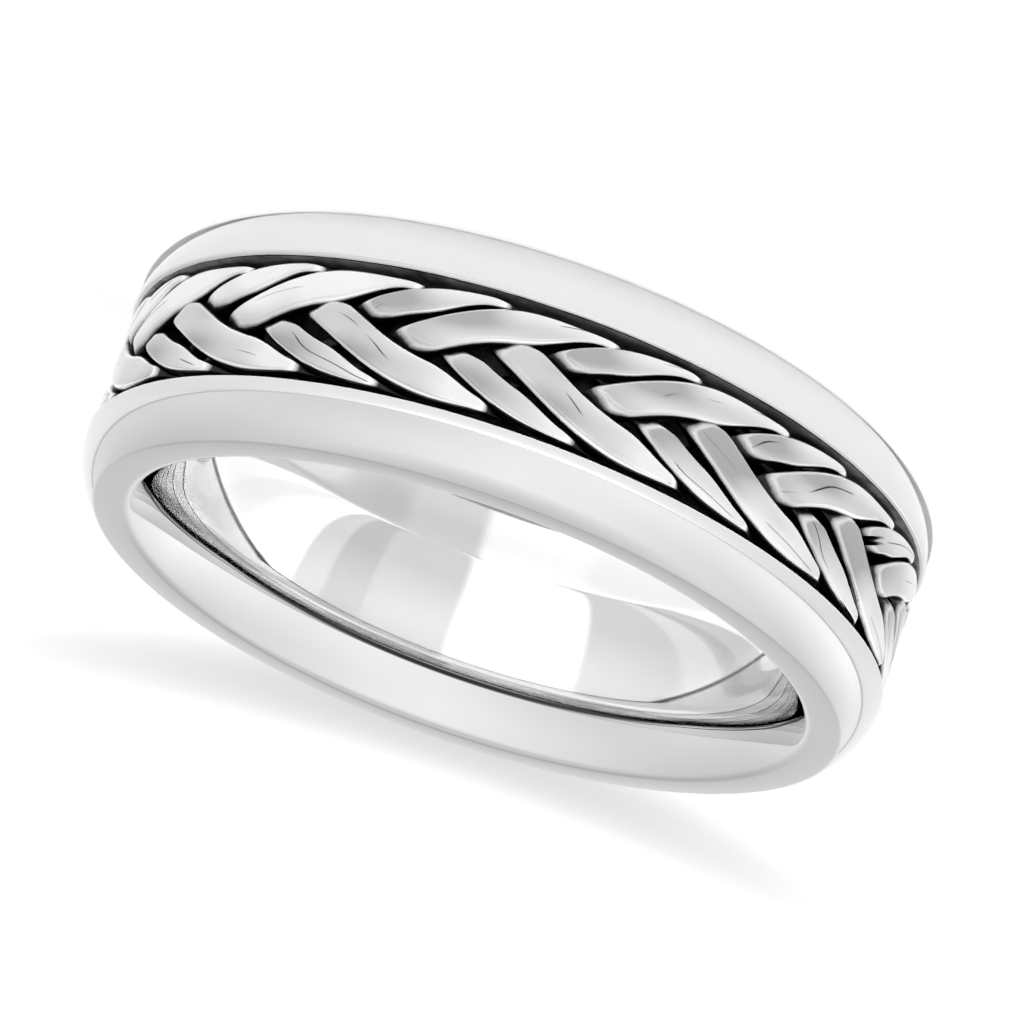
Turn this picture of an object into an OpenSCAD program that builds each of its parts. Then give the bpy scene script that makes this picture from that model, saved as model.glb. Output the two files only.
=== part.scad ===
// Braided band ring: a comfort-fit band with two domed rails, and a flat braid
// of three double strands set in the channel between them.
// Millimetres. Z is the finger's axis, and the ring lies on its lower rail at z = 0.

/* [Band] */
// Diameter of the straight part of the bore
bore_d = 19.0; // [14:0.1:24]
// Height of the metal from the bore to the top of the rails
band_t = 2.5; // [2.2:0.05:3.2]
// Width of the band along the finger
band_w = 7.2; // [6.6:0.1:9]
// Length of the straight part of the bore, along the finger
bore_flat = 3.0; // [2:0.1:4]
// Radius of the comfort-fit curves at both ends of the bore
comfort_r = 3.36; // [3.2:0.02:6]
// Radius of the rounding between those curves and the side faces
bore_edge_r = 0.32; // [0.1:0.02:0.4]
// Radius of the dome of each rail
dome_r = 2.28; // [1.8:0.02:3.5]

/* [Channel] */
// Width of the channel between the rails
channel_w = 3.76; // [3.7:0.02:4.4]
// Depth of the channel below the top of the rails
channel_depth = 1.66; // [1.6:0.02:1.9]
// Chamfer along the two top edges of the channel
channel_edge = 0.08; // [0.02:0.01:0.15]

/* [Braid] */
// Number of crossings on each side of the braid in one turn of the ring
crossings = 13; // [10:1:14]
// Width of the first wire of each double strand where it is polished flat
wire_a_w = 0.80; // [0.66:0.02:0.86]
// Width of the second wire of each double strand where it is polished flat
wire_b_w = 0.94; // [0.7:0.02:0.96]
// Thickness of a wire where it is polished flat
wire_t = 0.48; // [0.4:0.01:0.50]
// Width of a wire where it is squeezed under the others
under_w = 0.50; // [0.44:0.02:0.54]
// Thickness of a wire where it is squeezed under the others
under_t = 0.38; // [0.3:0.01:0.40]
// Distance of the braid's polished top below the top of the rails
top_drop = 0.10; // [0:0.02:0.3]
// How much the upper wires are polished flat
flat = 0.06; // [0:0.01:0.1]
// Gap between the lowest wires and the channel's floor
floor_gap = 0.03; // [0.02:0.01:0.1]
// How far the middle of a wire swings to each side
swing = 1.18; // [1.1:0.01:1.22]
// Distance between the two wires of a strand, as a share of one crossing
pair_lag = 0.472; // [0.465:0.001:0.48]
// Gap between the two ends of each wire at the seam
seam_gap = 0.06; // [0.04:0.02:0.2]

/* [Hidden] */

rail_r = bore_d / 2 + band_t;
half_w = band_w / 2;
half_channel = channel_w / 2;
// The comfort-fit curve's centre in the section, and that of the bore's edge rounding
comfort_x = bore_d / 2 + comfort_r;
comfort_z = bore_flat / 2;
edge_z = half_w - bore_edge_r;
edge_x = comfort_x - sqrt(pow(comfort_r - bore_edge_r, 2) - pow(edge_z - comfort_z, 2));
floor_r = rail_r - channel_depth;
braid_top_r = rail_r - top_drop;
lower_r = floor_r + floor_gap + under_t / 2;
upper_r = braid_top_r + flat - wire_t / 2;
over = 0.5;

strands = 3;
// One strand swings out and back once while three crossings go by
swing_angle = strands * 360 / crossings;
// Where the first wire crosses the middle, measured from the seam
first_cross = 24.9;
seam_angle = 90;
wire_rings = 156;
wire_sides = 8;
// Superellipse power of the wire's section: 2 is round, more is squarer
section_power = 2.6;
// The rings of a wire are bunched where it rises and dips, every quarter swing
bunch = 7;
// The braid leans to one side of the channel at each crossing of the middle
lean = 0.025;
// How much the swing is squared off near the rails, for wires a and b
square_off = [0.03, 0.015];
// Phase at which wires a and b rise past the middle, and how long that takes
rise_at = [13, -8.5];
rise_len = 24;
// Phase at which a wire dips at the rail, and how long that takes
dip_at = [75, 82];
dip_len = 70;
metal = [0.84, 0.85, 0.86];
wire_metal = [0.80, 0.81, 0.83];
$fn = 128;

function smooth(x) = let (c = min(max(x, 0), 1)) c * c * (3 - 2 * c);
function ramp(phase, at, len) = smooth((phase - at) / len + 0.5);

// 0 where a wire lies on the channel's floor, and 1 where it is on top
function lift(phase, kind) =
    let (p = phase - 180 * floor(phase / 180))
    ramp(p, rise_at[kind], rise_len) - ramp(p, dip_at[kind], dip_len)
    + ramp(p, rise_at[kind] + 180, rise_len);

function side_step(phase, kind) =
    -swing * (sin(phase) + square_off[kind] * sin(3 * phase))
    + lean * (1 + cos(2 * phase));

// Angle round the ring, radius and height of a wire's middle at a phase
function wire_angle(phase, cross) = cross + phase / 360 * swing_angle;
function wire_point(phase, cross, kind) =
    let (
        a = seam_angle - wire_angle(phase, cross),
        r = lower_r + (upper_r - lower_r) * lift(phase, kind)
    )
    [r * cos(a), r * sin(a), half_w - side_step(phase, kind)];

function unit(v) = v / norm(v);

// A point of the superellipse section, across the wire and up
function section_point(i, w, t) =
    let (a = 360 * (i + 0.5) / wire_sides, e = 2 / section_power)
    [
        w / 2 * sign(cos(a)) * pow(abs(cos(a)), e),
        t / 2 * sign(sin(a)) * pow(abs(sin(a)), e)
    ];

// Polishing: nothing stands above the braid's top
function polished(p) =
    let (r = norm([p.x, p.y]), k = min(r, braid_top_r) / r)
    [p.x * k, p.y * k, p.z];

function section_ring(phase, cross, kind, w) =
    let (
        step = 1,
        mid = wire_point(phase, cross, kind),
        ahead = wire_point(phase + step, cross, kind),
        behind = wire_point(phase - step, cross, kind),
        along = unit(ahead - behind),
        out = unit([mid.x, mid.y, 0]),
        across = unit(cross(along, out)),
        up = cross(across, along),
        flattened = lift(phase, kind),
        here_w = under_w + (w - under_w) * flattened,
        here_t = under_t + (wire_t - under_t) * flattened
    )
    [for (i = [0:wire_sides - 1])
        let (s = section_point(i, here_w, here_t)) polished(mid + s.x * across + s.y * up)];

module band() {
    color(metal)
    translate([0, 0, half_w])
    rotate_extrude()
    band_section();
}

module band_section() {
    difference() {
        intersection() {
            band_blank();
            outside_bore();
        }
        translate([floor_r, -half_channel]) square([channel_depth + over, channel_w]);
        for (side = [-1, 1]) {
            channel_chamfer(side);
            bore_edge(side);
        }
    }
}

// The outline before the bore and the channel are cut: two domes and what joins them
module band_blank() {
    intersection() {
        translate([bore_d / 2, -half_w]) square([band_t, band_w]);
        union() {
            for (side = [-1, 1])
                translate([rail_r - dome_r, side * half_channel]) circle(dome_r);
            translate([rail_r - dome_r - over, -half_w]) square([over, band_w]);
            translate([rail_r - dome_r, -half_channel]) square([dome_r, channel_w]);
        }
    }
}

// What the comfort-fit bore leaves: a straight wall that curves away at both ends
module outside_bore() {
    translate([bore_d / 2, -comfort_z]) square([band_t, bore_flat]);
    for (side = [-1, 1])
        translate([comfort_x, side * comfort_z]) circle(comfort_r);
}

module channel_chamfer(side) {
    translate([rail_r, side * half_channel])
    rotate(45)
    square(channel_edge * sqrt(2), center = true);
}

// What the rounding between the bore and a side face takes away
module bore_edge(side) {
    edge = [edge_x, side * edge_z];
    across = (edge - [comfort_x, side * comfort_z]) / (comfort_r - bore_edge_r);
    difference() {
        polygon([
            edge,
            edge + over * across,
            edge + over * [-1, side],
            edge + over * [0, side]
        ]);
        translate(edge) circle(bore_edge_r);
    }
}

module wire(strand, kind, w) {
    cross = first_cross + strand * 360 / crossings + kind * pair_lag * 360 / crossings;
    ends = seam_gap / 2 / braid_top_r * 180 / PI;
    first = (ends - cross) / swing_angle * 360;
    last = (360 - ends - cross) / swing_angle * 360;
    rings = [
        for (i = [0:wire_rings - 1])
            let (u = first + (last - first) * i / (wire_rings - 1))
            section_ring(bunched(u, first, last), cross, kind, w)
    ];
    points = [for (r = rings) each r];
    n = wire_sides;
    sides = [
        for (i = [0:wire_rings - 2], j = [0:n - 1])
            let (a = i * n + j, b = i * n + (j + 1) % n)
            each [[a, b, b + n], [a, b + n, a + n]]
    ];
    start_cap = [for (j = [n - 1:-1:0]) j];
    end_cap = [for (j = [0:n - 1]) (wire_rings - 1) * n + j];
    polyhedron(points, concat([start_cap, end_cap], sides));
}

// Bunches the rings without moving the first and the last
function bunched(u, first, last) =
    let (fade = min(1, (u - first) / 45, (last - u) / 45))
    u - fade * bunch * sin(4 * u);

module strand_1a() { color(wire_metal) wire(0, 0, wire_a_w); }
module strand_1b() { color(wire_metal) wire(0, 1, wire_b_w); }
module strand_2a() { color(wire_metal) wire(1, 0, wire_a_w); }
module strand_2b() { color(wire_metal) wire(1, 1, wire_b_w); }
module strand_3a() { color(wire_metal) wire(2, 0, wire_a_w); }
module strand_3b() { color(wire_metal) wire(2, 1, wire_b_w); }

band();
strand_1a();
strand_1b();
strand_2a();
strand_2b();
strand_3a();
strand_3b();
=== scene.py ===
# %% [markdown]
# A braided band ring. A jeweller turns the band on a lathe: a comfort-fit bore, two domed
# rails and a channel between them. Six flattened wires, in three pairs, are plaited and laid
# in the channel. The channel is blackened, and whatever stands proud is polished again.
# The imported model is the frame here: everything below is built around it, in metres.

# %% Load the frame
import math

import bpy
import numpy as np
from mathutils import Matrix, Vector


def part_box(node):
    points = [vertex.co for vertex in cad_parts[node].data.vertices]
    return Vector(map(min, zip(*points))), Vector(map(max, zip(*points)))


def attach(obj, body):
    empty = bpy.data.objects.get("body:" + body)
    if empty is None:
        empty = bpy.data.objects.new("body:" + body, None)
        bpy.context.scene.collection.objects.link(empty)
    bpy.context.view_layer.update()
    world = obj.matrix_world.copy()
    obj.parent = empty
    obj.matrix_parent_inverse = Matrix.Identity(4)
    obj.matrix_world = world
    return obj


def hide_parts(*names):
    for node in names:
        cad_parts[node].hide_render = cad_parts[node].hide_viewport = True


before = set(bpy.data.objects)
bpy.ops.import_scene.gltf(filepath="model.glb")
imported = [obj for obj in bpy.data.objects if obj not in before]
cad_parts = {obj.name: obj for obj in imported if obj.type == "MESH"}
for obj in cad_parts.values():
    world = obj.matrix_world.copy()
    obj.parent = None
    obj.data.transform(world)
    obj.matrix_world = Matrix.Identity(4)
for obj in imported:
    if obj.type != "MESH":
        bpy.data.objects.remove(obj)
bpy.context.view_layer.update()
print("nodes:", sorted(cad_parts))

# %% [markdown]
# The band's own box gives the radius of its rails and its width. The other sizes of its
# section are the ones that a jeweller would give the lathe.

# %% Sizes of the band
MM = 0.001
band_low, band_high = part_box("band")
RAIL_R = (band_high.x - band_low.x) / 2
HALF_W = (band_high.z - band_low.z) / 2
MID_Z = (band_high.z + band_low.z) / 2
BORE_R = 9.5 * MM
BORE_HALF_FLAT = 1.5 * MM
COMFORT_R = 3.36 * MM
BORE_EDGE_R = 0.32 * MM
DOME_R = 2.28 * MM
HALF_CHANNEL = 1.88 * MM
CHANNEL_DEPTH = 1.66 * MM
CHANNEL_EDGE = 0.08 * MM
FLOOR_R = RAIL_R - CHANNEL_DEPTH
print(f"rails {RAIL_R / MM:.3f} mm, half width {HALF_W / MM:.2f} mm, channel floor {FLOOR_R / MM:.2f} mm")

# %% [markdown]
# The camera comes first, so that every later step can be seen from it. It looks at the
# braid from a long way off, 19 degrees above the surface that the ring lies on, and is
# rolled over so that the ring leans across the picture.

# %% Camera
EYE = Vector((-0.21156, -216.41976, 78.96402)) * MM
SIGHT = Vector((0.0, 0.94430872, -0.32906084))
RIGHT = Vector((-0.94210867, -0.11033663, -0.31663399))
LENS_MM = 281.25
SENSOR_MM = 36.0
SEES_FROM, SEES_TO = 0.01, 20.0


def make_camera():
    """A long lens at EYE, looking along SIGHT, with RIGHT to the right of the picture."""
    data = bpy.data.cameras.new("camera")
    data.lens, data.sensor_width = LENS_MM, SENSOR_MM
    data.clip_start, data.clip_end = SEES_FROM, SEES_TO
    camera = bpy.data.objects.new("camera", data)
    bpy.context.scene.collection.objects.link(camera)
    up = RIGHT.cross(SIGHT)
    turn = Matrix((RIGHT, up, -SIGHT)).transposed()
    camera.matrix_world = Matrix.LocRotScale(EYE, turn.to_quaternion(), None)
    bpy.context.scene.camera = camera
    return camera


camera = make_camera()
print("camera at", [round(c / MM, 1) for c in camera.location], "mm")

# %% [markdown]
# Three helpers keep the modelling short. One lets go of everything, because an operator
# acts on all that is selected. One names the object that a primitive has just made, and
# one gives a mesh new places for its points.

# %% Helpers for modelling
def let_go():
    """Nothing is selected and no mesh is in edit mode."""
    if bpy.context.object and bpy.context.object.mode != "OBJECT":
        bpy.ops.object.mode_set(mode="OBJECT")
    bpy.ops.object.select_all(action="DESELECT")


def named(name):
    """Names the object that has just been made, and its mesh."""
    made = bpy.context.object
    made.name = made.data.name = name
    return made


def points_of(mesh):
    """The points of a mesh as an array with a row for each."""
    flat = np.empty(3 * len(mesh.vertices))
    mesh.vertices.foreach_get("co", flat)
    return flat.reshape(-1, 3)


def place_points(mesh, points):
    """Moves the points of a mesh to the rows of an array."""
    mesh.vertices.foreach_set("co", points.ravel())
    mesh.update()


print("helpers: let go, name, read points, place points")

# %% [markdown]
# The band's section is half of the story: a floor, a wall, the chamfer, the dome, the flat
# side face, a small rounding and the comfort-fit curve. Only the arcs need many points.
# The other half is its mirror image.

# %% Section of the band
DOME_STEPS, COMFORT_STEPS, EDGE_STEPS = 26, 26, 6


def arc(centre, radius, start, end, steps):
    """Points from start to end, angles in radians, on a circle in the section."""
    turn = np.linspace(start, end, steps + 1)
    return np.column_stack((centre[0] + radius * np.cos(turn), centre[1] + radius * np.sin(turn)))


def half_section():
    """Radius and height above the middle of each point, from the channel's floor to the bore."""
    dome_centre = (RAIL_R - DOME_R, HALF_CHANNEL)
    crease = math.asin((HALF_W - HALF_CHANNEL) / DOME_R)
    chamfer = math.asin(CHANNEL_EDGE / DOME_R)
    dome = arc(dome_centre, DOME_R, chamfer, crease, DOME_STEPS)
    comfort_centre = (BORE_R + COMFORT_R, BORE_HALF_FLAT)
    edge_z = HALF_W - BORE_EDGE_R
    edge_turn = math.pi - math.asin((edge_z - BORE_HALF_FLAT) / (COMFORT_R - BORE_EDGE_R))
    edge_x = comfort_centre[0] + (COMFORT_R - BORE_EDGE_R) * math.cos(edge_turn)
    rounding = arc((edge_x, edge_z), BORE_EDGE_R, math.pi / 2, edge_turn, EDGE_STEPS)
    comfort = arc(comfort_centre, COMFORT_R, edge_turn, math.pi, COMFORT_STEPS)
    wall_top = (RAIL_R - CHANNEL_EDGE, HALF_CHANNEL)
    floor_and_wall = [(FLOOR_R, HALF_CHANNEL / 2), (FLOOR_R, HALF_CHANNEL), wall_top]
    return np.vstack((floor_and_wall, dome, rounding, comfort[1:]))


upper = half_section()
section = np.vstack((upper, upper[::-1] * (1, -1)))
print("points in the band's section:", len(section))

# %% [markdown]
# Turning the band: a circle primitive with one corner for each point of the section is
# dragged into the section's shape, and spun once round the finger's axis. The spin's first
# and last copies are merged, and the normals are made to point out. A fine bevel then takes
# the sharpness off the creases, as polishing does.

# %% Turn the band
BAND_STEPS = 450
MERGE_DISTANCE = 0.001 * MM
CREASE_ROUNDING = 0.06 * MM
CREASE_ANGLE = math.radians(20)
CREASE_CUTS = 3


def turn_band():
    let_go()
    bpy.ops.mesh.primitive_circle_add(vertices=len(section), radius=HALF_W, location=(0, 0, 0))
    band = named("turned_band")
    radius, height = section.T
    place_points(band.data, np.column_stack((radius, 0 * radius, MID_Z + height)))
    bpy.ops.object.mode_set(mode="EDIT")
    bpy.ops.mesh.select_all(action="SELECT")
    bpy.ops.mesh.spin(steps=BAND_STEPS, angle=2 * math.pi, center=(0, 0, 0), axis=(0, 0, 1))
    bpy.ops.mesh.select_all(action="SELECT")
    bpy.ops.mesh.remove_doubles(threshold=MERGE_DISTANCE)
    bpy.ops.mesh.normals_make_consistent(inside=False)
    bpy.ops.object.mode_set(mode="OBJECT")
    bevel = band.modifiers.new("polished creases", "BEVEL")
    bevel.width, bevel.segments = CREASE_ROUNDING, CREASE_CUTS
    bevel.limit_method, bevel.angle_limit = "ANGLE", CREASE_ANGLE
    bpy.ops.object.modifier_apply(modifier=bevel.name)
    bpy.ops.object.shade_smooth()
    return band


band = turn_band()
print("band:", len(band.data.polygons), "faces")

# %% [markdown]
# The braid. Each wire swings from rail to rail and back, and the whole plait is one path
# that the six wires follow one behind the other. A phase of 360 degrees is one swing out
# and back. A wire that heads for a rail lies on top, and one that comes back from it dips
# under. Its two wires differ a little: the second one is wider, and it rises sooner. Tables
# give a wire's height, width and side step at a few phases, and the path goes smoothly from
# one to the next. Along a rail a wire thins into a tail, a little sooner beside the lower
# rail, so that the next wire shows below it.

# %% The path of a wire
CROSSINGS = 13
STRANDS = 3
SWING_ANGLE = STRANDS * 360 / CROSSINGS
FIRST_CROSS = 25.94
SEAM_ANGLE = 90.0
SWING = (1.41 * MM, 1.28 * MM)
LEAN = 0.085 * MM
PAIR_LAG = 0.438
SEAM_GAP = 0.01 * MM
SQUARE_OFF = 0.06
HEIGHTS = (((-4, 0), (20, 1), (80, 1), (114, 0)), ((-28, 0), (-4, 1), (96, 1), (122, 0)))
SLANT = 8.0
WIDTHS = (
    (
        ((-7, 0.52), (17, 0.84), (48, 0.84), (96, 0.26), (116, 0.26), (136, 0.52)),
        ((-7, 0.52), (17, 0.84), (40, 0.84), (86, 0.26), (114, 0.26), (136, 0.52)),
    ),
    (
        ((-33, 0.52), (-9, 1.08), (62, 1.08), (114, 0.26), (120, 0.26), (138, 0.52)),
        ((-33, 0.52), (-9, 1.08), (48, 1.08), (100, 0.24), (118, 0.26), (138, 0.52)),
    ),
)
TAIL_STEPS = (
    (((48, 0), (96, 0.25), (116, 0.25), (136, 0)), ((40, 0), (86, 0.25), (114, 0.25), (136, 0))),
    (((62, 0), (114, 0.30), (120, 0.30), (138, 0)), ((48, 0), (100, 0.27), (118, 0.27), (138, 0))),
)
WIRE_T = 0.70 * MM
BRAID_TOP_R = RAIL_R - 0.10 * MM
LOWER_R = FLOOR_R + 0.46 * MM
UPPER_R = BRAID_TOP_R - 0.315 * MM


def keyed(phase, keys):
    """Goes smoothly from key to key, each a phase and a value, and again every 180 degrees."""
    at, values = np.array(keys, float).T
    at, values = np.append(at, at[0] + 180), np.append(values, values[0])
    p = np.mod(phase - at[0], 180) + at[0]
    i = np.clip(np.searchsorted(at, p, side="right") - 1, 0, len(keys) - 1)
    x = (p - at[i]) / (at[i + 1] - at[i])
    return values[i] + (values[i + 1] - values[i]) * x * x * (3 - 2 * x)


def by_side(phase, tables):
    """The first table is for a wire on the side of the upper rail, the second for the lower."""
    return np.where(np.sin(np.radians(phase)) > 0, keyed(phase, tables[0]), keyed(phase, tables[1]))


def side_step(phase, kind):
    """How far a wire has swung from the middle of the channel. Its tail keeps close to the rail."""
    turn = np.radians(phase)
    swung = SWING[kind] * (np.sin(turn) + SQUARE_OFF * np.sin(3 * turn))
    tail = MM * by_side(phase, TAIL_STEPS[kind]) * np.sign(np.sin(turn))
    return LEAN * (1 + np.cos(2 * turn)) - swung - tail


def wire_point(phase, cross, kind, late=0.0):
    """The middle of a wire at a phase, for a wire that first crosses the middle at cross."""
    turn = np.radians(SEAM_ANGLE - cross - phase / 360 * SWING_ANGLE)
    radius = LOWER_R + (UPPER_R - LOWER_R) * keyed(phase - late, HEIGHTS[kind])
    return np.stack((radius * np.cos(turn), radius * np.sin(turn), MID_Z - side_step(phase, kind)), axis=-1)


print(f"one swing out and back takes {SWING_ANGLE:.1f} degrees of the ring")

# %% [markdown]
# Making a wire: it starts as a straight bar, a circle extruded once and subdivided along
# its length, and is then bent as the weave says. A curve modifier would bend it too, but it
# can't squeeze the wire where it dips and keep its flat top facing outwards, so the bar's
# points are moved by the weave's own formula.

# %% Draw a straight wire
WIRE_SIDES = 36
WIRE_CUTS = 29


def straight_wire(name):
    """A bar one unit long and round in section, with many rings of points."""
    let_go()
    bpy.ops.mesh.primitive_circle_add(vertices=WIRE_SIDES, radius=1, fill_type="NGON", location=(0, 0, 0))
    wire = named(name)
    bpy.context.tool_settings.mesh_select_mode = (False, True, False)
    bpy.ops.object.mode_set(mode="EDIT")
    bpy.ops.mesh.select_all(action="SELECT")
    bpy.ops.mesh.extrude_region_move(TRANSFORM_OT_translate={"value": (0, 0, 1)})
    for cut in range(2):
        bpy.ops.object.mode_set(mode="OBJECT")
        select_long_edges(wire.data)
        bpy.ops.object.mode_set(mode="EDIT")
        bpy.ops.mesh.subdivide(number_cuts=WIRE_CUTS)
    bpy.ops.object.mode_set(mode="OBJECT")
    return wire


def select_long_edges(mesh):
    """Selects the edges that run along the bar, and nothing else."""
    height = points_of(mesh)[:, 2]
    ends = np.empty(2 * len(mesh.edges), int)
    mesh.edges.foreach_get("vertices", ends)
    low, high = height[ends.reshape(-1, 2)].T
    mesh.polygons.foreach_set("select", np.zeros(len(mesh.polygons), bool))
    mesh.vertices.foreach_set("select", np.zeros(len(mesh.vertices), bool))
    mesh.edges.foreach_set("select", abs(high - low) > 0)


print("rings of points along a wire:", (WIRE_CUTS + 1) ** 2 + 1)

# %% [markdown]
# Bending the bar. Each ring of its points is set square to the path, with one axis pointing
# away from the finger, so that every wire keeps its flat towards the eye. The section is a
# superellipse: a power of 2 would make it round, and a higher one squares it, as rolling
# does. Three numbers are kept on the points for the finish to read: how far along and across
# the wire a point lies, and how close to the wire's nose.

# %% Bend a wire
NOSES = (((-4, 1), (22, 1), (60, 0), (150, 0)), ((-28, 1), (12, 1), (50, 0), (130, 0)))
SECTION_POWER = 3.2
POLISH_SOFTNESS = 0.014 * MM
HALF_STEP = 0.5
FAR_BELOW = 30.0


def unit(vectors):
    return vectors / np.linalg.norm(vectors, axis=-1, keepdims=True)


def bend(wire, cross, kind):
    """Moves each point of a straight bar to its place in the braid."""
    bar = points_of(wire.data)
    end_gap = math.degrees(SEAM_GAP / 2 / BRAID_TOP_R)
    first = (end_gap - cross) / SWING_ANGLE * 360
    last = (360 - end_gap - cross) / SWING_ANGLE * 360
    phase = first + (last - first) * bar[:, 2]
    turn = np.arctan2(bar[:, 1], bar[:, 0])
    late = -SLANT * np.cos(np.radians(phase)) * np.cos(turn)
    middle = wire_point(phase, cross, kind, late)
    along = unit(wire_point(phase + HALF_STEP, cross, kind) - wire_point(phase - HALF_STEP, cross, kind))
    outward = unit(middle * (1, 1, 0))
    across = unit(np.cross(along, outward))
    up = np.cross(across, along)
    half_w = MM * by_side(phase, WIDTHS[kind]) / 2
    power = 2 / SECTION_POWER
    sideways = half_w * np.sign(np.cos(turn)) * abs(np.cos(turn)) ** power
    upwards = WIRE_T / 2 * np.sign(np.sin(turn)) * abs(np.sin(turn)) ** power
    placed = middle + sideways[:, None] * across + upwards[:, None] * up
    place_points(wire.data, polished(placed))
    note(wire.data, "along", phase * math.radians(SWING_ANGLE / 360) * BRAID_TOP_R)
    note(wire.data, "across", sideways)
    note(wire.data, "nose", keyed(phase, NOSES[kind]))


def note(mesh, name, values):
    """Keeps a number for each point of a mesh, for its finish to read."""
    mesh.attributes.new(name, "FLOAT", "POINT").data.foreach_set("value", values)


def polished(points):
    """Rubs the braid down to its top radius, with a soft edge to the flat."""
    radius = np.linalg.norm(points[:, :2], axis=1)
    above = (radius - BRAID_TOP_R) / POLISH_SOFTNESS
    lowered = BRAID_TOP_R - POLISH_SOFTNESS * np.log1p(np.exp(-np.clip(above, -FAR_BELOW, FAR_BELOW)))
    kept = np.where(above < -FAR_BELOW, radius, lowered)
    scale = np.column_stack((kept / radius, kept / radius, np.ones(len(radius))))
    return points * scale


print(f"wires are {WIRE_T / MM:.2f} mm thick and rubbed down to {BRAID_TOP_R / MM:.2f} mm from the axis")

# %% [markdown]
# Plaiting. The three strands start one crossing apart, and the second wire of a strand
# follows the first by a little less than half a crossing. Nothing else differs, because the
# path already knows when to rise and when to dip. Each wire gets a mesh of its own, since no
# two of them start at the same phase at the seam.

# %% Plait the braid
SHARP_ANGLE = math.radians(50)


def plait():
    """The six wires, each named after the node that it stands for."""
    wires = []
    for strand in range(STRANDS):
        for kind, letter in enumerate("ab"):
            wire = straight_wire(f"wire_{strand + 1}{letter}")
            bend(wire, FIRST_CROSS + (strand + kind * PAIR_LAG) * 360 / CROSSINGS, kind)
            bpy.ops.object.shade_smooth_by_angle(angle=SHARP_ANGLE)
            wires.append(wire)
    return wires


wires = plait()
print("wires:", [(w.name, len(w.data.polygons)) for w in wires])

# %% [markdown]
# Finishes are node trees, and node trees read best as sums. A small class wraps a node's
# output so that Python's signs add the Math nodes, and one method adds any other node.

# %% Shader maths
class Value:
    """One output of a node, which plus, minus, times and the like can work on."""

    def __init__(self, finish, socket):
        self.finish, self.socket = finish, socket

    def math(self, operation, first, second=0.0):
        return self.finish.node("ShaderNodeMath", {"operation": operation}, {0: first, 1: second})

    def __add__(self, other):
        return self.math("ADD", self, other)

    def __sub__(self, other):
        return self.math("SUBTRACT", self, other)

    def __rsub__(self, other):
        return self.math("SUBTRACT", other, self)

    def __mul__(self, other):
        return self.math("MULTIPLY", self, other)

    def __pow__(self, other):
        return self.math("POWER", self, other)

    __radd__, __rmul__ = __add__, __mul__

    def clamped(self):
        """The same value, kept between 0 and 1."""
        return self.finish.node("ShaderNodeClamp", {}, {"Value": self})


class Nodes:
    """The node tree of a material, a world or a lamp, to which nodes are added one by one."""

    def __init__(self, owner):
        owner.use_nodes = True
        self.owner, self.tree = owner, owner.node_tree
        self.tree.nodes.clear()

    def node(self, kind, settings, sockets, output=0):
        """Adds a node, sets it up, fills its sockets with values or links, and gives an output."""
        made = self.tree.nodes.new(kind)
        for name, setting in settings.items():
            if name == "stops":
                self.set_stops(made, setting)
            else:
                setattr(made, name, setting)
        for name, value in sockets.items():
            if isinstance(value, Value):
                self.tree.links.new(value.socket, made.inputs[name])
            else:
                made.inputs[name].default_value = value
        return Value(self, made.outputs[output]) if made.outputs else None

    def set_stops(self, ramp, stops):
        """Gives a ramp a grey for each position."""
        elements = ramp.color_ramp.elements
        while len(elements) < len(stops):
            elements.new(1.0)
        for element, (position, grey) in zip(elements, stops):
            element.position = position
            element.color = (grey, grey, grey, 1)

    def direction(self, output):
        """The x, y and z of a Texture Coordinate output."""
        apart = self.node("ShaderNodeSeparateXYZ", {}, {0: self.node("ShaderNodeTexCoord", {}, {}, output)})
        return [Value(self, axis) for axis in apart.socket.node.outputs]

    def compass(self, east, south):
        """0 to 1 round the compass, 0.5 being where south is largest."""
        turn = self.node("ShaderNodeMath", {"operation": "ARCTAN2"}, {0: east, 1: south})
        return turn * (0.5 / math.pi) + 0.5

    def place(self):
        """Angle round the ring times its radius, distance from the axis and height, in metres."""
        x, y, z = self.direction("Object")
        out = (x * x + y * y) ** 0.5
        round_ring = self.node("ShaderNodeMath", {"operation": "ARCTAN2"}, {0: y, 1: x}) * RAIL_R
        return round_ring, out, z

    def noise(self, where, scale, detail=3.0, roughness=0.5):
        sockets = {"Vector": where, "Scale": scale, "Detail": detail, "Roughness": roughness}
        return self.node("ShaderNodeTexNoise", {}, sockets)

    def bump(self, strength, depth, height):
        """A normal that leans as if the surface rose by a depth where height is 1."""
        return self.node("ShaderNodeBump", {}, {"Strength": strength, "Distance": depth, "Height": height})

    def noted(self, name):
        """A number that was kept for each point of the mesh."""
        return self.node("ShaderNodeAttribute", {"attribute_name": name}, {}, "Fac")

    def vector(self, x, y, z):
        return self.node("ShaderNodeCombineXYZ", {}, {0: x, 1: y, 2: z})

    def between(self, value, low, high):
        """0 up to a low value, 1 from a high one on."""
        return ((value - low) * (1 / (high - low))).clamped()

    def mix(self, factor, first, second):
        sockets = {"Factor": factor, "A": first, "B": second}
        return self.node("ShaderNodeMix", {"data_type": "RGBA"}, sockets, "Result")

    def surface(self, sockets, normal=None):
        """Ends the tree in a Principled surface."""
        if normal is not None:
            sockets = {**sockets, "Normal": normal}
        shader = self.node("ShaderNodeBsdfPrincipled", {}, sockets)
        self.node("ShaderNodeOutputMaterial", {}, {"Surface": shader})
        return self.owner


def new_finish(name):
    return Nodes(bpy.data.materials.new(name))


print("shader maths ready")

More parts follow.
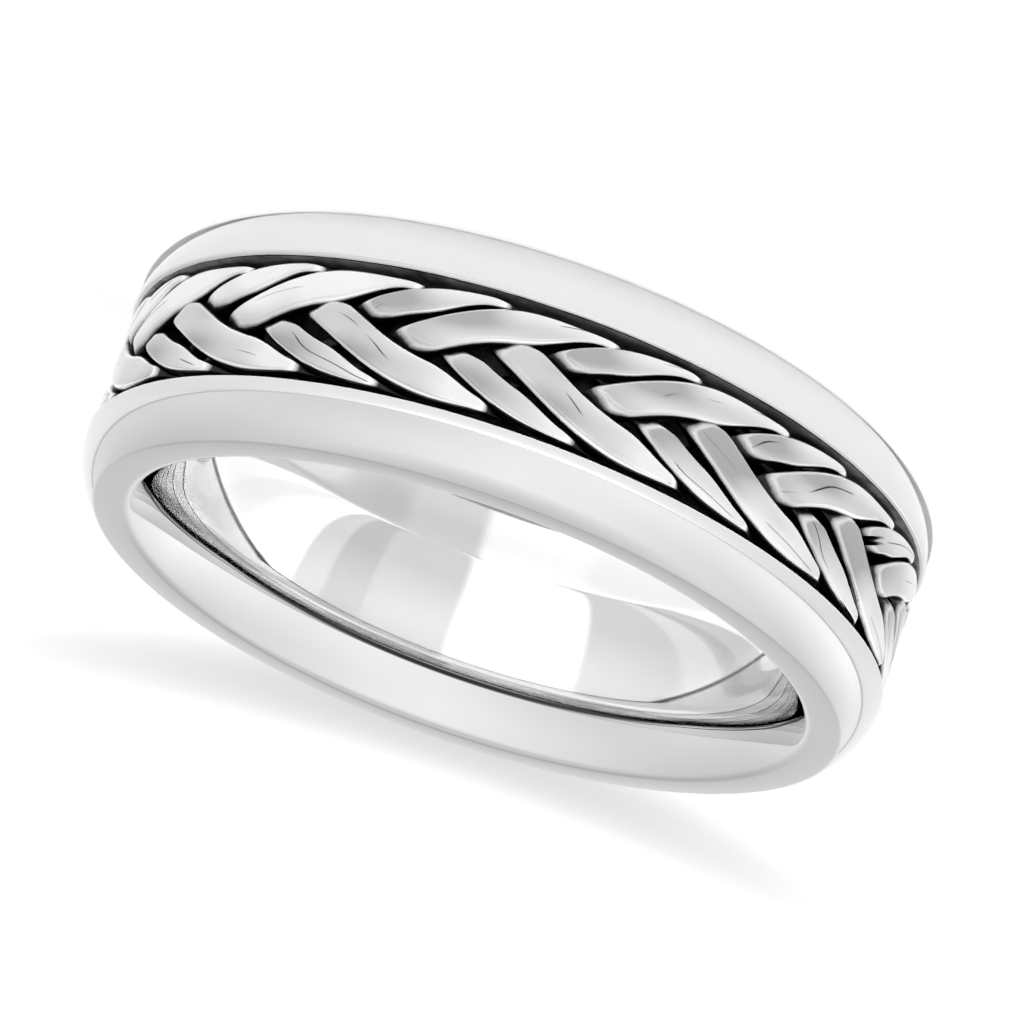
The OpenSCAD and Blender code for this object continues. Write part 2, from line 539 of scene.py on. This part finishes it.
# %% [markdown]
# Polished silver is a mirror with hairlines. The buffing wheel runs round the ring, so the
# hairlines do too: a noise stretched along the way round. They show in the roughness and as
# a very low bump, on the outside only, because the bore is polished last and finest. A slow
# noise adds the faint cloud of handling. Where the bore opens out, the real ring mirrors a
# dark edge of the room. A plain studio has none, so that thin line is drawn in the colour,
# a little higher at both ends of the hole than in the middle.

# %% Polished silver
SILVER = (0.75, 0.752, 0.755, 1)
SILVER_WORN = (0.72, 0.722, 0.725, 1)
LIP_LINE = (0.07, 0.071, 0.073, 1)
BUFFED_FROM = (BORE_R + 0.6 * MM, BORE_R + 1.0 * MM)
LINE_FROM, LINE_TO = (1.98 * MM, 2.04 * MM), (2.12 * MM, 2.18 * MM)
LINE_INSIDE = (BORE_R + 0.3 * MM, BORE_R + 0.4 * MM)
LINE_RISE = 0.40 * MM
LINE_TURNS, LINE_FADE = (0.26, 0.65), (-0.10, 0.26)
HAIRLINE_STRETCH, HAIRLINE_SCALE = 0.02, 24000.0
HAIRLINE_BUMP, HAIRLINE_DEPTH = 0.008, 0.005 * MM
CLOUD_SCALE = 420.0
MIRROR, RUBBED = 0.015, 0.03


def hairlines(finish, round_ring, out, height):
    """Fine lines round the ring, from 0 to 1."""
    stretched = finish.vector(round_ring * HAIRLINE_STRETCH, out, height)
    return finish.noise(stretched, HAIRLINE_SCALE, 4.0, 0.65)


def lip_line(finish, out, height):
    """1 on the thin line in the upper lip of the bore, on the side away from the camera."""
    north = finish.direction("Object")[1] * out ** -1.0
    above = height - MID_Z - (1 - finish.between(north, *LINE_TURNS)) * LINE_RISE
    line = finish.between(above, *LINE_FROM) * (1 - finish.between(above, *LINE_TO))
    return line * (1 - finish.between(out, *LINE_INSIDE)) * finish.between(north, *LINE_FADE)


def polished_silver():
    finish = new_finish("polished silver")
    round_ring, out, height = finish.place()
    buffed = finish.between(out, *BUFFED_FROM)
    lines = hairlines(finish, round_ring, out, height) * buffed
    cloud = finish.noise(finish.vector(round_ring, out, height), CLOUD_SCALE, 3.0)
    silver = finish.mix(cloud, SILVER, SILVER_WORN)
    bump = finish.bump(HAIRLINE_BUMP, HAIRLINE_DEPTH, lines)
    return finish.surface(
        {
            "Base Color": finish.mix(lip_line(finish, out, height), silver, LIP_LINE),
            "Metallic": 1.0,
            "Roughness": (lines + cloud) * buffed * RUBBED + MIRROR,
        },
        bump,
    )


band_finish = polished_silver()
print("polished silver:", len(band_finish.node_tree.nodes), "nodes")

# %% [markdown]
# The channel is blackened with liver of sulphur, which leaves a brittle, patchy skin over the
# silver. It is hardly a metal any more, so it is only partly metallic, and rough. One noise
# makes the smoky patches and a much finer one makes the grain.

# %% Blackened channel
BLACKENED = (0.03, 0.031, 0.033, 1)
SMOKY = (0.26, 0.262, 0.27, 1)
PATCH_SCALE, GRAIN_SCALE = 900.0, 14000.0
PATCH_ENDS = (0.30, 0.70)
GRAIN_BUMP, GRAIN_DEPTH = 0.2, 0.01 * MM


def blackened_silver():
    finish = new_finish("blackened silver")
    round_ring, out, height = finish.place()
    patches = finish.noise(finish.vector(round_ring, out, height), PATCH_SCALE, 4.0, 0.6)
    grain = finish.noise(finish.vector(round_ring * 0.2, out, height), GRAIN_SCALE, 2.0)
    bump = finish.bump(GRAIN_BUMP, GRAIN_DEPTH, grain)
    return finish.surface(
        {
            "Base Color": finish.mix(finish.between(patches, *PATCH_ENDS), BLACKENED, SMOKY),
            "Metallic": 0.3,
            "Roughness": patches * 0.2 + 0.3,
        },
        bump,
    )


channel_finish = blackened_silver()
print("blackened silver:", len(channel_finish.node_tree.nodes), "nodes")

# %% [markdown]
# The wires are blackened with the channel, and then the polishing cloth reaches only what
# stands proud. So the depth below the braid's top decides: a painted highlight on the very rim
# of the flat, black further down, with a ragged edge between them. The flats carry painted
# shade at a wire's nose, where it comes up from under the next wire, and the rim's painted
# highlight is dimmer there. A few short creases run along the flats, left by the rolling. They
# wander, because straight ones would look ruled.

# %% Wires, blackened low down and polished on top
FLAT_DARK, FLAT_LIGHT = (0.40, 0.402, 0.408, 1), (0.84, 0.842, 0.846, 1)
# Painted highlight on the rim of each flat, dimmer at a wire's nose, and the depths over which it gives way
# to the flat.
RIM_HIGHLIGHT, RIM_HIGHLIGHT_AT_NOSE = (0.96, 0.962, 0.965, 1), (0.66, 0.662, 0.666, 1)
RIM_HIGHLIGHT_DEPTHS = (0.018, 0.040)
BLACK_DEPTHS = (0.055, 0.15)
RAGGED_SCALE, RAGGED_DEPTH = 1600.0, 0.10
FLAT_SCALE, FLAT_ENDS = 480.0, (0.45, 0.78)
# Painted shade on the flats at a wire's nose.
NOSE_SHADE = 0.16
LINE_SCALE = 16000.0
LINE_BUMP, LINE_DEPTH = 0.10, 0.01 * MM
CREASE_SCALE, WANDER_SCALE = 450.0, 500.0
CREASE_WANDER = 1.6 * MM
CREASE_WIDTHS = (0.006 * MM, 0.022 * MM)
CREASE_ENDS = (0.54, 0.60)


def flat_colour(finish, along, across, height, nose):
    """Random light and dark patches along the flats, and painted shade at a nose."""
    patches = finish.noise(finish.vector(along * 0.5, across, height), FLAT_SCALE, 1.0, 0.5)
    return finish.mix(finish.between(patches + nose * NOSE_SHADE, *FLAT_ENDS), FLAT_LIGHT, FLAT_DARK)


def creases(finish, along, across, height, place):
    """1 on the short lines that wander along a wire."""
    slow = finish.noise(finish.vector(along * 0.3, height, 0.0), WANDER_SCALE, 1.0)
    wander = (slow - 0.5) * CREASE_WANDER
    beside = ((across - wander) ** 2.0) ** 0.5
    there = finish.between(finish.noise(place, CREASE_SCALE, 1.0), *CREASE_ENDS)
    return (1 - finish.between(beside, *CREASE_WIDTHS)) * there


def plaited_silver():
    finish = new_finish("plaited silver")
    round_ring, out, height = finish.place()
    along, across, nose = (finish.noted(name) for name in ("along", "across", "nose"))
    place = finish.vector(round_ring, out, height)
    lines = finish.noise(finish.vector(along * 0.03, across, height * 0.2), LINE_SCALE, 3.0, 0.6)
    depth = (BRAID_TOP_R - out) * (1 / MM)
    ragged = (finish.noise(place, RAGGED_SCALE, 4.0, 0.6) - 0.5) * RAGGED_DEPTH
    black = finish.between(depth + ragged, *BLACK_DEPTHS)
    flat = flat_colour(finish, along, across, height, nose)
    flat = finish.mix(creases(finish, along, across, height, place), flat, BLACKENED)
    # The rim of each flat gets a painted highlight, dimmer at a nose.
    flat_with_rim_highlight = finish.mix(finish.between(depth, *RIM_HIGHLIGHT_DEPTHS), flat, finish.mix(nose, RIM_HIGHLIGHT, RIM_HIGHLIGHT_AT_NOSE))
    bump = finish.bump(LINE_BUMP, LINE_DEPTH, lines)
    return finish.surface(
        {
            "Base Color": finish.mix(black, flat_with_rim_highlight, BLACKENED),
            "Metallic": 1.0,
            "Roughness": black * 0.28 + lines * 0.04 + 0.03,
        },
        bump,
    )


braid_finish = plaited_silver()
print("plaited silver:", len(braid_finish.node_tree.nodes), "nodes")

# %% [markdown]
# The band takes two finishes, and the faces of its channel are found by their place. The
# wires share one: its depths are measured from the axis, so it suits them all.

# %% Give the pieces their finishes
BESIDE_WALL, BELOW_FLOOR = 0.001 * MM, 0.05 * MM


def in_channel(mesh):
    """For each face of the band, whether it is the channel's floor or wall."""
    centres = np.empty(3 * len(mesh.polygons))
    mesh.polygons.foreach_get("center", centres)
    x, y, z = centres.reshape(-1, 3).T
    return (abs(z - MID_Z) < HALF_CHANNEL + BESIDE_WALL) & (np.hypot(x, y) > FLOOR_R - BELOW_FLOOR)


blackened = in_channel(band.data)
band.data.materials.append(band_finish)
band.data.materials.append(channel_finish)
band.data.polygons.foreach_set("material_index", blackened.astype(np.int32))
for wire in wires:
    wire.data.materials.append(braid_finish)
print("blackened faces of the band:", int(blackened.sum()))

# %% [markdown]
# The pieces take the places of the plain solids, and ride on the one body that the ring is.
# Nothing of the plain solids stays in sight, but they still give the ring its weight and its
# contacts.

# %% Stand in for the frame's nodes
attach(band, "root")
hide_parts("band")
for wire in wires:
    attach(wire, "root")
    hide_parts(wire.name.replace("wire", "strand"))
print("stand-ins:", [band.name] + [w.name for w in wires])

# %% [markdown]
# A studio for a mirror is mostly what the mirror sees. The floor is a large pale sheet, plain
# and dull, so that it takes the lamps' light evenly.

# %% Floor
FLOOR_SIZE = 4.0
PALE = (0.7, 0.7, 0.7, 1)


def make_floor():
    let_go()
    bpy.ops.mesh.primitive_plane_add(size=FLOOR_SIZE, location=(0, 0, 0))
    floor = named("floor")
    finish = new_finish("pale floor")
    floor.data.materials.append(finish.surface({"Base Color": PALE, "Roughness": 0.9}))
    return floor


floor = make_floor()
print(f"floor {FLOOR_SIZE:.0f} m across")

# %% [markdown]
# Silver is photographed in a tent of white cloth, lit from outside. Here the sky is the tent:
# a ramp round the compass for what lies low, another one higher up, and one level overhead.
# Each level is the grey that the metal should show, divided by what the metal takes away.
# Light goes to and fro in the bore before it leaves, so mirrors may bounce it more than the
# usual four times: with fewer, the ends of the lip would be black.

# %% Tent of light
LOW_TENT = (
    (-180, 0.68), (-163, 0.72), (-145, 0.80), (-120, 0.97), (-90, 0.90), (-60, 0.84), (-30, 0.87), (0, 0.84),
    (30, 0.72), (60, 0.66), (90, 0.70), (120, 0.66), (145, 0.66), (163, 0.68), (180, 0.68),
)
HIGH_TENT = (
    (-180, 0.40), (-145, 0.50), (-120, 0.62), (-90, 0.70), (-60, 0.74), (-30, 0.82), (0, 0.86),
    (30, 0.80), (60, 0.72), (90, 0.62), (120, 0.55), (145, 0.46), (180, 0.40),
)
ZENITH = 0.56
LOW_TO_HIGH, HIGH_TO_ZENITH = (0.10, 0.55), (0.78, 0.96)
MIRROR_LOSS = 0.74
MIRROR_BOUNCES = 10


def round_the_ring(levels):
    """Ramp stops from compass degrees, 0 being towards -Y and 90 towards +X."""
    return [((degrees + 180) / 360, level / MIRROR_LOSS) for degrees, level in levels]


def make_tent():
    """A world that is brighter in some directions, one ring of levels low down and one higher up."""
    world = bpy.data.worlds.new("tent")
    tent = Nodes(world)
    x, y, z = tent.direction("Generated")
    share = tent.compass(x, y * -1.0)
    ramp = "ShaderNodeValToRGB"
    low = tent.node(ramp, {"stops": round_the_ring(LOW_TENT)}, {"Fac": share})
    high = tent.node(ramp, {"stops": round_the_ring(HIGH_TENT)}, {"Fac": share})
    sides = tent.mix(tent.between(z, *LOW_TO_HIGH), low, high)
    top = ZENITH / MIRROR_LOSS
    sky = tent.mix(tent.between(z, *HIGH_TO_ZENITH), sides, (top, top, top, 1))
    light = tent.node("ShaderNodeBackground", {}, {"Color": sky})
    tent.node("ShaderNodeOutputWorld", {}, {"Surface": light})
    bpy.context.scene.world = world


make_tent()
bpy.context.scene.view_settings.view_transform = "Standard"
bpy.context.scene.cycles.glossy_bounces = MIRROR_BOUNCES
print("tent of", len(LOW_TENT) + len(HIGH_TENT), "stops")

# %% [markdown]
# The tent's light doesn't reach the floor evenly, and a mirror shows every bit of that. Three
# lamps even it out. They light the floor without showing in the metal, and each has a
# pattern, drawn in millimetres on the floor.

# %% Lamps with a pattern
SPOT_BLEND = 0.1


def patterned_lamp(name, place, spread, power, softness=0.0):
    """A spot that points straight down, as a node tree, with the x and y of where its light lands."""
    data = bpy.data.lights.new(name, "SPOT")
    data.energy, data.shadow_soft_size = power, softness
    data.spot_size, data.spot_blend = spread, SPOT_BLEND
    lamp = bpy.data.objects.new(name, data)
    bpy.context.scene.collection.objects.link(lamp)
    lamp.location = place
    lamp.visible_glossy = False
    pattern = Nodes(data)
    east, north, down = pattern.direction("Normal")
    scale = ((down * down) ** -0.5) * (place[2] / MM)
    return pattern, east * scale + place[0] / MM, north * scale + place[1] / MM


def light_up(pattern, strength):
    """Ends a lamp's tree."""
    glow = pattern.node("ShaderNodeEmission", {}, {"Strength": strength})
    pattern.node("ShaderNodeOutputLight", {}, {"Surface": glow})


print("lamps can have a pattern")

# %% [markdown]
# The front lamp stands on the camera's side and lights the floor there. The back lamp hangs
# over the ring and lights the floor behind it, all but a soft, slightly bent bar, which is
# the ring's shadow in the photo. The front one hands over to the back one between 4 and 22 mm
# behind the axis, and both give a little more light close to the ring, which itself hides
# part of the tent.

# %% Light on the floor around the ring
HOLE_SHADE = (10.4, 10.8)
LIFT = 0.4
LIFT_ENDS = (12.0, 23.0)
HANDOVER = (4.0, 22.0)
BAR_Y, BAR_TILT, BAR_CURVE, BAR_DEPTH = 33.2, 0.07, 0.028, 0.7
BAR_HALF_LENGTH, BAR_HALF_WIDTH = 14.2, 4.4
BAR_SOFTNESS = (0.05, 1.1)
FRONT_LAMP = ((0, -300 * MM, 200 * MM), math.radians(140), 5.3, 1 * MM)
BACK_LAMP = ((0, 0, 500 * MM), math.radians(60), 6.4)


def near_lift(pattern, east, north):
    """More light close to the ring, and none in the hole."""
    out = (east * east + north * north) ** 0.5
    return pattern.between(out, *HOLE_SHADE) * (1 + (1 - pattern.between(out, *LIFT_ENDS)) * LIFT)


def hang_front_lamp():
    front, east, north = patterned_lamp("front lamp", *FRONT_LAMP)
    light_up(front, near_lift(front, east, north) * (1 - front.between(north, *HANDOVER)))


def hang_back_lamp():
    back, east, north = patterned_lamp("back lamp", *BACK_LAMP)
    beside = north - BAR_Y - east * (east * BAR_CURVE + BAR_TILT)
    bar = (east * (1 / BAR_HALF_LENGTH)) ** 2.0 + (beside * (1 / BAR_HALF_WIDTH)) ** 2.0
    shade = (1 - back.between(bar, *BAR_SOFTNESS)) * BAR_DEPTH
    light_up(back, near_lift(back, east, north) * back.between(north, *HANDOVER) * (1 - shade))


hang_front_lamp()
hang_back_lamp()
print(f"shadow bar {BAR_Y} mm behind the ring's axis")

# %% [markdown]
# The bore mirrors the floor inside it. Seen from far off, each upright strip of the wall
# mirrors a ray of floor that starts at the focus, half a radius behind the axis, so panes
# that stand upright in the mirror lie like slices of a pie on the floor. A ramp round the
# focus gives each slice its level, and all of them are lighter towards the wall. No light
# falls past the lip, which keeps a thin dark edge at the foot of the wall.

# %% Light through the hole
HOLE_LAMP = ((0, 0, 24 * MM), math.radians(60), 0.0325)
HOLE_LIGHT = (10.25, 10.45)
FOCUS = BORE_R / 2 / MM
PANES = (
    (-180, 1.0), (-150, 1.0), (-146, 0.86), (-118, 0.86), (-112, 1.0), (-71, 1.0),
    (-69, 0.50), (-56, 0.50), (-54, 0.28), (-38, 0.28), (-36, 0.42), (-5, 0.42), (-3, 1.0), (44, 1.0),
    (47, 0.44), (96, 0.44), (104, 0.62), (130, 0.62), (133, 0.40), (141, 0.28), (150, 0.28), (153, 0.42),
    (175, 0.42), (178, 1.0),
)
PANE_FADE = (3.5, 9.0)
PANE_SPREAD = 0.36


def hang_hole_lamp():
    panes, east, north = patterned_lamp("hole lamp", *HOLE_LAMP)
    out = (east * east + north * north) ** 0.5
    apart = (east * east + (north - FOCUS) ** 2.0) ** 0.5
    stops = [((degrees + 180) / 360, level) for degrees, level in PANES]
    turn = panes.compass(east, FOCUS - north)
    level = panes.node("ShaderNodeValToRGB", {"stops": stops}, {"Fac": turn})
    spread = panes.between(apart, *PANE_FADE) * PANE_SPREAD
    light_up(panes, (level + spread) * (1 - panes.between(out, *HOLE_LIGHT)))


hang_hole_lamp()
print(f"focus {FOCUS:.2f} mm behind the axis,", len(PANES), "stops")
